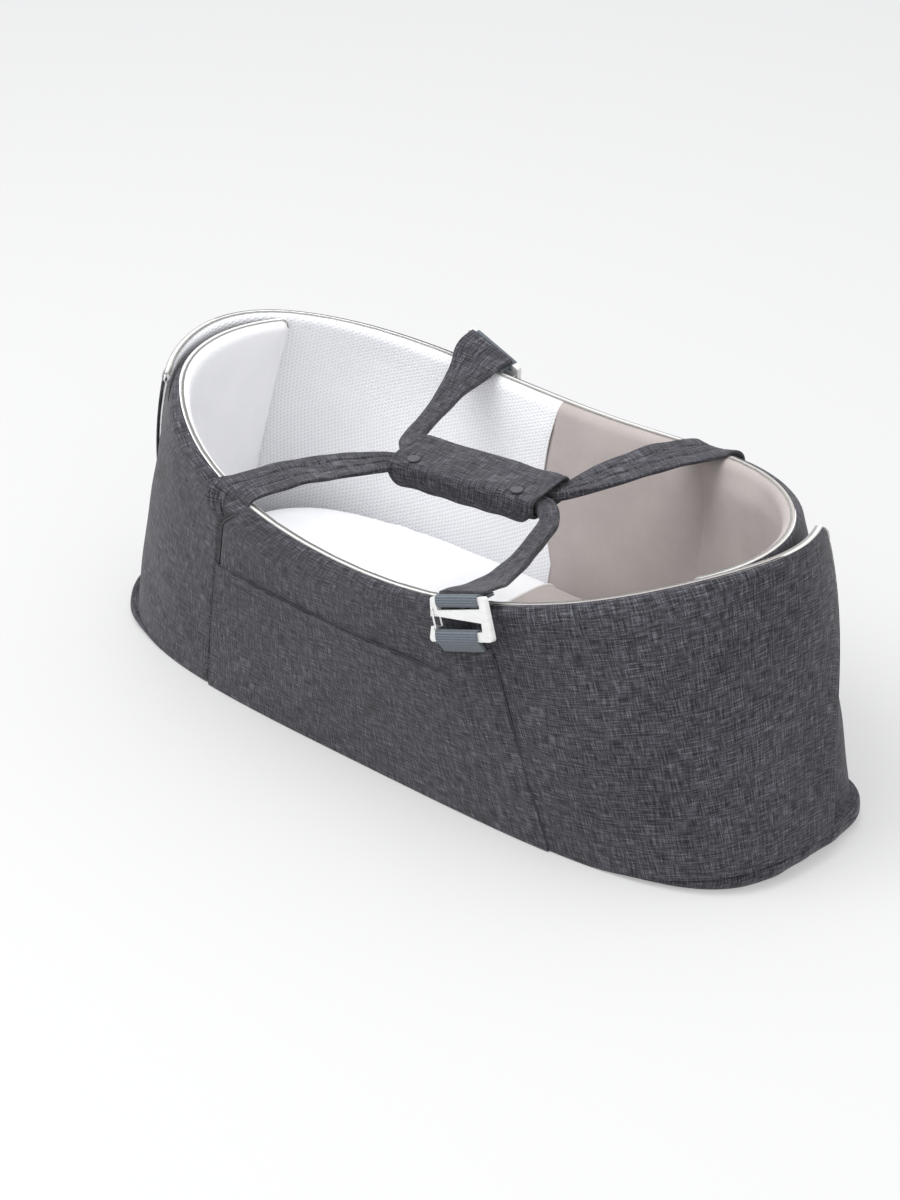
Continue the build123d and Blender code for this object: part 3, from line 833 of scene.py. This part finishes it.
def swellCloth(piece):  # blows the pad up against its own seams, then keeps each point within the cap
    remesh = piece.modifiers.new("evenMesh", "REMESH")
    remesh.mode, remesh.voxel_size = "VOXEL", mattress["voxel"]
    settle(piece)
    before = readPoints(piece)
    cloth = piece.modifiers.new("fill", "CLOTH")
    cloth.settings.use_pressure, cloth.settings.uniform_pressure_force = True, mattress["pressure"]
    cloth.settings.effector_weights.gravity = 0
    cloth.settings.quality = 4
    for step in range(1, mattress["frames"] + 1):
        bpy.context.scene.frame_set(step)
    settle(piece)
    move = readPoints(piece) - before
    size = np.linalg.norm(move, axis=1, keepdims=True)
    move *= mattress["cap"] * np.tanh(size / mattress["cap"]) / np.maximum(size, 1e-9)
    points = before + move
    floor, roof = mattress["level"] + 0.0002, mattress["level"] + mattress["height"] + 0.0025
    points[:, 2] = np.clip(points[:, 2], floor, roof)
    piece.data.vertices.foreach_set("co", points.ravel())
    bpy.context.scene.frame_set(1)
    fine = piece.modifiers.new("fine", "SUBSURF")
    fine.levels = fine.render_levels = 1
    return settle(piece)


def cutAt(piece, name, x, keep, cloth):  # one half of a closed pad, shut again at the cut
    half = addObject(name, piece.data.copy(), cloth)
    cut = bmesh.new()
    cut.from_mesh(half.data)
    whole = cut.verts[:] + cut.edges[:] + cut.faces[:]
    bmesh.ops.bisect_plane(cut, geom=whole, plane_co=(x, 0, 0), plane_no=(keep, 0, 0), clear_inner=True)
    bmesh.ops.holes_fill(cut, edges=[e for e in cut.edges if e.is_boundary], sides=0)
    cut.to_mesh(half.data)
    cut.free()
    dress(half.data, cloth)
    shadeSmooth(half.data)
    half.data.set_sharp_from_angle(angle=math.radians(60))
    return half


pad = swellCloth(makePiece("mattressPad", mattressPoints(), "whiteJersey", wrap=True, closeEnds=True))
coords = readPoints(pad)
gap = mattress["piping"] * 0.6
headHalf = cutAt(pad, "mattressHead", mattress["split"] - gap, -1, "whiteJersey")
footHalf = cutAt(pad, "mattressFoot", mattress["split"] + gap, 1, "taupeJersey")
placePiece(headHalf, "cot", ["mattress_head_cover", "mattress_core"])
placePiece(footHalf, "cot", ["mattress_foot_cover"])
ring = coords[np.abs(coords[:, 0] - mattress["split"]) < mattress["voxel"]]
middle = mattress["level"] + mattress["height"] / 2
around = np.arctan2((ring[:, 2] - middle) * 5, ring[:, 1])
order = np.argsort(around)
turn = np.linspace(-pi, pi, 160, endpoint=False)
ringY = np.interp(turn, around[order], ring[order, 1], period=2 * pi)
ringZ = np.interp(turn, around[order], ring[order, 2], period=2 * pi)
loop = np.column_stack([np.full(160, mattress["split"]), ringY, ringZ])
loop = np.vstack([loop, loop[:1]])
piece = roundTube("mattressPiping", loop, (1, 0, 0), mattress["piping"], "creamTrim", 8)
placePiece(piece, "cot", ["mattress_seam_piping"])
bpy.data.objects.remove(pad)
print("stage: mattress")

# Buckles
turning = np.array(joints["near_gate_press"]["axis"])
gatePivot = np.array(joints["near_gate_press"]["pos_m"])
buckle = {
    "turn": 20.0, "lean": 10.0, "gateAt": (-0.031, 0.008), "edge": 0.0011,
    "topBar": (0.0142, 0.0070), "lowBar": (-0.016, 0.0080), "thickness": 0.005, "clear": 0.0004,  # bar place, height
}
barTurn, barLean = math.radians(buckle["turn"]), math.radians(buckle["lean"])
alongBar = np.array([math.cos(barTurn), 0.0, math.sin(barTurn)])
upBuckle = np.array([
    -math.sin(barTurn) * math.cos(barLean), math.sin(barLean), math.cos(barTurn) * math.cos(barLean)])
buckleCentre = gatePivot - alongBar * buckle["gateAt"][0] - upBuckle * buckle["gateAt"][1]

for side in sides:
    source = frame["nodes"][f"{side}_buckle_frame"]
    mesh = bpy.data.meshes.new(side + "Buckle")
    joined = bmesh.new()
    joined.from_mesh(source.data)
    bmesh.ops.remove_doubles(joined, verts=joined.verts[:], dist=0.00002)
    bmesh.ops.dissolve_limit(
        joined, angle_limit=math.radians(0.4), verts=joined.verts[:], edges=joined.edges[:])
    joined.to_mesh(mesh)
    joined.free()
    dress(mesh, "whiteMetal")
    piece = addObject(side + "Buckle", mesh, "whiteMetal")
    softEdge(piece, buckle["edge"], 3, 40)
    settle(piece, sharp=30)
    shadeSmooth(piece.data)
    placePiece(piece, "cot", [f"{side}_buckle_frame"])
for node, cloth in (
    ("near_buckle_gate", "wireSteel"), ("far_buckle_gate", "wireSteel"),
    ("snap_caps", "snapPlastic"), ("snap_studs", "snapPlastic"),
):
    dress(frame["nodes"][node].data, cloth)
print("stage: buckles")

# Straps
strap = {
    "station": -0.127, "width": 0.046, "thick": 0.0052, "foldedWidth": 0.020, "foldedThick": 0.009,
    "rise": 0.0034, "grooves": (-0.17, 0.17), "grooveWidth": 0.050,
    "rows": 300, "columns": 48, "blendFrom": -0.187, "blendTo": -0.160, "rootDepth": 0.022,
}
grip = {
    "level": 0.227, "turn": 9.5, "length": 0.150, "width": 0.054, "fabric": 0.0025, "clearance": 0.001,
    "lip": 0.020, "wrapLip": 0.014, "corner": 0.015, "stitchInset": 0.0042, "studHeight": 0.001,
}
webbing = {"width": 0.050, "thick": 0.0016, "tail": 0.012, "lowShift": -0.0055, "loopSquare": 3.2}
up = np.array([0.0, 0.0, 1.0])
gripTurn = math.radians(grip["turn"])
gripAlong = np.array([math.cos(gripTurn), math.sin(gripTurn), 0.0])
gripAcross = np.cross(up, gripAlong)
gripCentre = up * grip["level"]
strapRow = gripCentre - gripAcross * (strap["foldedWidth"] / 2 + 0.0006)
gripLeft = strapRow - gripAlong * (grip["length"] / 2 + 0.002)
gripRight = strapRow + gripAlong * (grip["length"] / 2 + 0.002)
swingWide = np.array(joints["near_handle_swing"]["pos_m"])
wideStart = swingWide + (0, 0.006, 0.0004)
topBar = buckleCentre + upBuckle * buckle["topBar"][0]
inward = np.array([0.0, 1.0, 0.0])
tailStart = topBar + inward * (buckle["topBar"][1] / 2 + webbing["thick"] + 0.0002)
tailEnd = tailStart + inward * webbing["tail"]


def station(place, across, width, thick, ridged):
    return (*place, *unit(np.asarray(across, float)), width, thick, ridged)


def wallStation(level, out):
    place = onWall(strap["station"], np.array(level), 0.0) - (0, out, 0)
    return station(place, (1, 0.22, 0), strap["width"], strap["thick"] * 0.75, 0.9)


def strapPoints():
    # From under the panel's face over the rim, ridged and wide, then rolled through the grip, and opened out again
    def between(share, end=gripLeft, start=wideStart):
        return start + (end - start) * share
    rim = float(rimLevel(strap["station"]))
    route = [
        wallStation(rim - strap["rootDepth"], -0.0040),
        wallStation(rim - 0.008, -0.0015),
        wallStation(rim + 0.0030, -0.0050),
        station(between(0.35) + up * 0.006, (1, -0.16, 0), strap["width"], strap["thick"], 1.0),
        station(between(0.72) + up * 0.005, (0.86, -0.5, 0), strap["width"] * 0.90, strap["thick"], 1.0),
        station(between(0.93) + up * 0.001, (0.40, -0.9, 0), strap["foldedWidth"] * 1.25, 0.0085, 0.8),
        station(gripLeft + gripAlong * 0.006, (0.1, -1, 0), strap["foldedWidth"] * 1.05, 0.0092, 0.5),
        station(strapRow, -gripAcross, strap["foldedWidth"], strap["foldedThick"], 0.2),
        station(gripRight, -gripAcross, strap["foldedWidth"], strap["foldedThick"] * 1.1, 0.2),
        station(gripRight + (0.020, -0.014, -0.003), (-0.75, -0.75, 0.1), 0.0170, 0.0090, 0.2),
        station(between(0.42, tailEnd, gripRight) + (0.012, 0, -0.008), (-0.95, -0.3, -0.1), 0.0165, 0.0085, 0.2),
        station(between(0.70, tailEnd, gripRight) + (0.009, 0, -0.006), (-1, 0, -0.2), 0.0250, 0.0065, 0.3),
        station(between(0.88, tailEnd, gripRight) + (0.003, 0, -0.002), -alongBar, 0.0400, 0.0048, 0.3),
        station(tailEnd + inward * 0.002 + up * 0.004, -alongBar, webbing["width"] * 1.02, 0.0042, 0.0),
        station(topBar + inward * 0.003 + up * 0.0060, -alongBar, webbing["width"] * 1.04, 0.0040, 0.0),
    ]
    values = smoothPath(route, strap["rows"], 9)
    path, across, width, thick, ridged = values[:, :3], values[:, 3:6], values[:, 6], values[:, 7], values[:, 8]
    share, sectionX, sectionY = flatSection(width, thick, strap["columns"], 5.0)
    groove = sum(np.exp(-((share - g) / strap["grooveWidth"]) ** 2) for g in np.array(strap["grooves"]) * 2)
    sectionY = sectionY * (1 - 0.80 * np.outer(ridged, groove))
    crown = 0.0012 * np.outer(ridged, 1 - share ** 2)  # the ridges sit on a slight arch
    length = np.linspace(0, 0.46, strap["rows"])[:, None]
    sectionY = sectionY + crown + 0.0005 * ripple(length, share[None] * 0.02, 17, 14, 40)
    return sweep(path, across, sectionX, sectionY)


def blendHandle(piece):
    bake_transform(piece)


nearStrap = strapPoints()
for side, turn in sides.items():
    piece = makePiece(side + "Strap", nearStrap * turn, "charcoalCloth", wrap=True, closeEnds=True, turnOver=True)
    placePiece(piece, None, [side + "_handle_strap"])
    blendHandle(piece)


def loopPath(bar, half, clear, tail, shiftTo, opening):
    # Round a bar's section and back out along a doubled tail; the loop opens towards the tail
    place, height = bar
    high, deep = height / 2 + clear, half + clear
    start = math.atan2(*opening)
    turn = np.linspace(start + 0.42, start + 2 * pi - 0.42, 40)
    size = ovalReach(np.cos(turn) / high, np.sin(turn) / deep, webbing["loopSquare"])
    ring = buckleCentre + np.outer(place + np.cos(turn) * size, upBuckle) + np.outer(np.sin(turn) * size, turning)
    ring = ring + alongBar * shiftTo
    off = unit(np.cross(tail[-1] - tail[0], alongBar)) * webbing["thick"] * 0.52
    if np.dot(ring[0] - ring[-1], off) < 0:
        off = -off
    return np.vstack([tail[::-1] + off, ring, tail - off])


def webbingPiece(name, path):
    values = smoothPath(path, 200, 3)
    width = np.full(200, webbing["width"])
    ends = np.minimum(np.arange(200), np.arange(200)[::-1])
    thick = np.full(200, webbing["thick"]) * np.clip(0.6 + ends * 0.2, 0, 1)
    _, sectionX, sectionY = flatSection(width, thick, 30, 9.0)
    points = sweep(values, alongBar, sectionX, sectionY, sheared=True)
    return makePiece(name, points, "slateWebbing", wrap=True, closeEnds=True)


half = buckle["thickness"] / 2
clear = buckle["clear"] + webbing["thick"] / 2
tailRun = np.linspace(0, 1, 12)[:, None]
topTail = tailStart + (tailEnd - tailStart) * (tailRun * 0.98 + 0.02)
opening = (np.dot(inward, turning), np.dot(inward, upBuckle))
topPath = loopPath(buckle["topBar"], half, clear, topTail, 0.0, opening)
bandX = bandEdge(0)(bandTop)
bandPoint = onWall(bandX, np.array(bandTop), 0.0) + (0, -0.0034, 0.0012)
ringLow = buckleCentre + alongBar * webbing["lowShift"] + upBuckle * (
    buckle["lowBar"][0] - buckle["lowBar"][1] / 2 - webbing["thick"])
lowTail = ringLow + (bandPoint - ringLow) * tailRun
lowPath = loopPath(buckle["lowBar"], half, clear, lowTail, webbing["lowShift"], (0.0, -1.0))
for side, turn in sides.items():
    piece = webbingPiece(side + "UpperWebbing", topPath)
    piece.data.transform(Matrix.Diagonal((*turn, 1)))
    placePiece(piece, None, [side + "_upper_webbing"])
    blendHandle(piece)
    piece = webbingPiece(side + "LowerWebbing", lowPath)
    piece.data.transform(Matrix.Diagonal((*turn, 1)))
    placePiece(piece, "cot", [side + "_lower_webbing"])
print("stage: straps and webbing")


# Grip
def gripPoint(across, level, along):  # grip coordinates: across to the far side, level up, along from the middle
    return gripCentre + across[..., None] * gripAcross + level[..., None] * up + along[..., None] * gripAlong


halfGrip = grip["width"] / 2
roof = strap["foldedThick"] / 2 + grip["clearance"]
lipTop = roof + grip["fabric"]
flapLow = lipTop + grip["studHeight"] + 0.0002


def planarPath(corners, count, reach):  # a smoothed outline in two dimensions
    flat = np.column_stack([np.asarray(corners, float), np.zeros(len(corners))])
    return smoothPath(flat, count, reach)[:, :2]


wrapLine = planarPath([
    (-halfGrip + grip["wrapLip"], lipTop), (-halfGrip, lipTop), (-halfGrip, -lipTop),
    (halfGrip, -lipTop), (halfGrip, lipTop - 0.001)], 96, 10)
run = np.linspace(-1, 1, 64)
rounding = 1 - 0.035 * np.abs(run) ** 9
across = wrapLine[:, 0][None] * rounding[:, None]
level = wrapLine[:, 1][None] * (1 - 0.08 * np.abs(run) ** 9)[:, None]
along = np.broadcast_to(run[:, None] * grip["length"] / 2, across.shape)
soft = 0.0006 * ripple(along, across, 23, 15, 45)
points = gripPoint(across, level + np.where(level < 0, soft, 0), along)
piece = thicken(makePiece("gripWrap", points, "charcoalCloth", turnOver=True), grip["fabric"], bevel=0.0007)
placePiece(piece, "near_handle", ["grip_wrap"])

flapTop = flapLow + grip["fabric"]
flapEdge = -halfGrip - 0.0004 - grip["fabric"]
flapLine = planarPath([
    (halfGrip + grip["fabric"] + 0.0006, flapLow - 0.0055), (halfGrip + grip["fabric"] + 0.0006, flapTop - 0.001),
    (halfGrip - 0.001, flapTop + 0.0004), (0.0, flapTop + 0.0004), (flapEdge + 0.002, flapTop - 0.0004),
    (flapEdge, flapTop - 0.003), (flapEdge, flapLow - grip["lip"])], 110, 12)


def flapPoints(rows=110):
    # The flap's line carried along the grip, its near corners cut to quarter circles, with a hollow round each snap
    steps = lengthsAlong(flapLine)
    fromLip = steps[-1] - steps
    cut = np.clip(grip["corner"] - fromLip, 0, grip["corner"])
    reach = grip["length"] / 2 + 0.001 - (grip["corner"] - np.sqrt(grip["corner"] ** 2 - cut ** 2))
    run = np.linspace(-1, 1, rows)
    run = run + 0.09 * np.sin(pi * run)
    along = run[:, None] * reach[None]
    across = np.broadcast_to(flapLine[:, 0], along.shape)
    level = np.broadcast_to(flapLine[:, 1], along.shape)
    border = np.minimum(reach[None] - np.abs(along), fromLip[None])
    pillow = -0.0007 * np.exp(-((border - grip["stitchInset"]) / 0.0013) ** 2)
    pillow = pillow - 0.0008 * np.clip(1 - border / 0.002, 0, 1)
    snaps = [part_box("snap_caps")[0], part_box("snap_caps")[1]]
    snapAcross = float(np.dot(np.array((snaps[0] + snaps[1]) / 2) - gripCentre, gripAcross))
    dent = sum(np.exp(-(((along - s * 0.054) / 0.009) ** 2 + ((across - snapAcross) / 0.009) ** 2)) for s in (-1, 1))
    soft = 0.0007 * ripple(along, across, 29, 12, 34)
    return gripPoint(across, level + pillow - 0.0012 * dent + soft * (1 - np.clip(dent, 0, 1)), along)


flapGrid = flapPoints()
piece = thicken(makePiece("gripFlap", flapGrid, "charcoalCloth"), grip["fabric"] * 0.9, bevel=0.0008)
placePiece(piece, None, ["grip_flap"])
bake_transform(piece)
print("stage: grip")


# Stitching
def gridLine(points, rows, columns):  # a line across a grid at fractional rows and columns
    r, c = rows * (points.shape[0] - 1), columns * (points.shape[1] - 1)
    r0, c0 = np.clip(r.astype(int), 0, points.shape[0] - 2), np.clip(c.astype(int), 0, points.shape[1] - 2)
    fr, fc = (r - r0)[:, None], (c - c0)[:, None]
    top = points[r0, c0] * (1 - fc) + points[r0, c0 + 1] * fc
    low = points[r0 + 1, c0] * (1 - fc) + points[r0 + 1, c0 + 1] * fc
    return top * (1 - fr) + low * fr


def addStitches(name, path, normal, turn, body, **sizes):
    piece = stitchRow(name, path * turn, np.broadcast_to(normal, path.shape) * turn, **sizes)
    placePiece(piece, body)


def wallLine(x, z, depth):  # a line on the near outer face, and which way is out
    path = onWall(x, z, depth)
    return path, unit(path - onWall(x, z, depth + 0.01))


def seamStitches(name, seam, low, high, depth):
    z = np.linspace(low, high, 90)
    path, outward = wallLine(seam(z), z, depth)
    for side, turn in sides.items():
        addStitches(side + name, path, outward, turn, "cot")


def paintedShadeLine(name, x, z, depth, thick=0.0007):  # painted shade: a thin dark tube along a seam's valley or under an edge, standing in for the shadow there
    path, outward = wallLine(x, z, depth)
    for side, turn in sides.items():
        placePiece(roundTube(side + name, path * turn, outward * turn, thick, "darkThreadAndShade", 6), "cot")


# Painted shade: thin dark tubes stand in for the shadows in the head and foot seams, along both edges of the buckle
# band and under the pocket's mouth
seamZ = np.linspace(0.006, 0.222, 120)
paintedShadeLine("HeadSeamLine", headSeam(seamZ), seamZ, 0.0012, 0.0010)
paintedShadeLine("FootSeamLine", footSeam(seamZ), seamZ, 0.0012, 0.0010)
bandZ = np.linspace(0.004, bandTop, 120)
paintedShadeLine("BandInnerLine", bandEdge(-band["width"] / 2 - 0.0006)(bandZ), bandZ, -0.0012, 0.0008)
paintedShadeLine("BandLine", bandEdge(band["width"] / 2 + 0.0007)(bandZ), bandZ, -0.0002, 0.0011)
mouthX = np.linspace(-0.152, 0.137, 160)
paintedShadeLine("PocketMouth", mouthX, np.full(160, pocket["top"] + 0.0004), -0.0004, 0.0009)
seamStitches("HeadSeamStitches", lambda z: headSeam(z) - 0.0045, 0.010, 0.222, -0.0002)
seamStitches("FootSeamStitches", lambda z: footSeam(z) + 0.0045, 0.010, 0.214, -0.0002)
hemX = np.linspace(-0.172, 0.136, 140)
hemZ = np.full(140, pocket["top"] - pocket["hem"])
hemPath = onWall(hemX, hemZ, -pocket["proud"] - 0.0004)
for side, turn in sides.items():
    addStitches(side + "PocketStitches", hemPath, (0, -1, 0.1), turn, "cot")
    u = np.linspace(-0.023, 0.023, 24)
    row = bandPoint + np.outer(u, alongBar) + (0, -0.0012, 0)
    addStitches(side + "WebbingStitches", row - (0, 0, 0.0026), (0, -1, 0.1), turn, "cot", rise=0.0008)
border = np.concatenate([
    gridLine(flapGrid, np.full(40, 0.038), np.linspace(0.16, 0.90, 40)),
    gridLine(flapGrid, np.linspace(0.038, 0.962, 80), np.full(80, 0.935)),
    gridLine(flapGrid, np.full(40, 0.962), np.linspace(0.90, 0.16, 40))])
piece = stitchRow("flapStitches", border, (0, -0.25, 1), pitch=0.0036, length=0.0024)
placePiece(piece, "grip_flap")
print("stage: stitching")

# Floor
floorPoints = np.stack(np.meshgrid([-0.5, 0.5], [-0.5, 0.5]), -1) * studio["floorSize"]
floorMesh = bpy.data.meshes.new("floor")
floorMesh.from_pydata([(*xy, -0.0004) for xy in floorPoints.reshape(-1, 2)], [], [(0, 1, 3, 2)])
floorMesh.materials.append(newMaterial("paleFloor", lambda wire: {
    "Base Color": (*studio["floorColour"], 1), "Roughness": 0.9, "Specular IOR Level": 0.0,
    "Emission Color": (1, 1, 1, 1), "Emission Strength": studio["floorGlow"]}))
floor = addObject("floor", floorMesh)
